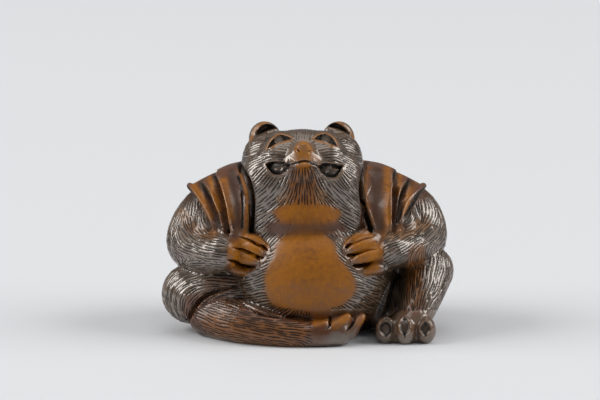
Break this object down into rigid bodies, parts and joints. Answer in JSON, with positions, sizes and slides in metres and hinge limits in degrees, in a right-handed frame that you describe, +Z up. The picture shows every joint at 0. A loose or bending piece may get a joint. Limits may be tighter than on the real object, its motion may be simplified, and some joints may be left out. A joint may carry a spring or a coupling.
{
  "type": "netsuke",
  "caption": "Small wooden toggle carved as a seated tanuki in a sleeveless jacket, head tipped back and paws on its belly, with a flat seat and a bent cord channel in the back.",
  "frame": {"origin": "on the table plane, at the stated point of the flat seat", "axes": "+Z up out of the seat, +X to the side of the drawn-up knee, the belly faces -Y"},
  "size_m": [0.0419, 0.0281, 0.0298],
  "materials": {
    "stained_boxwood": "stained dark brown, hair lines cut in, raised places worn to orange brown and polished"
  },
  "bodies": {
    "root": {"tanuki_netsuke": "stained_boxwood"}
  },
  "joints": []
}
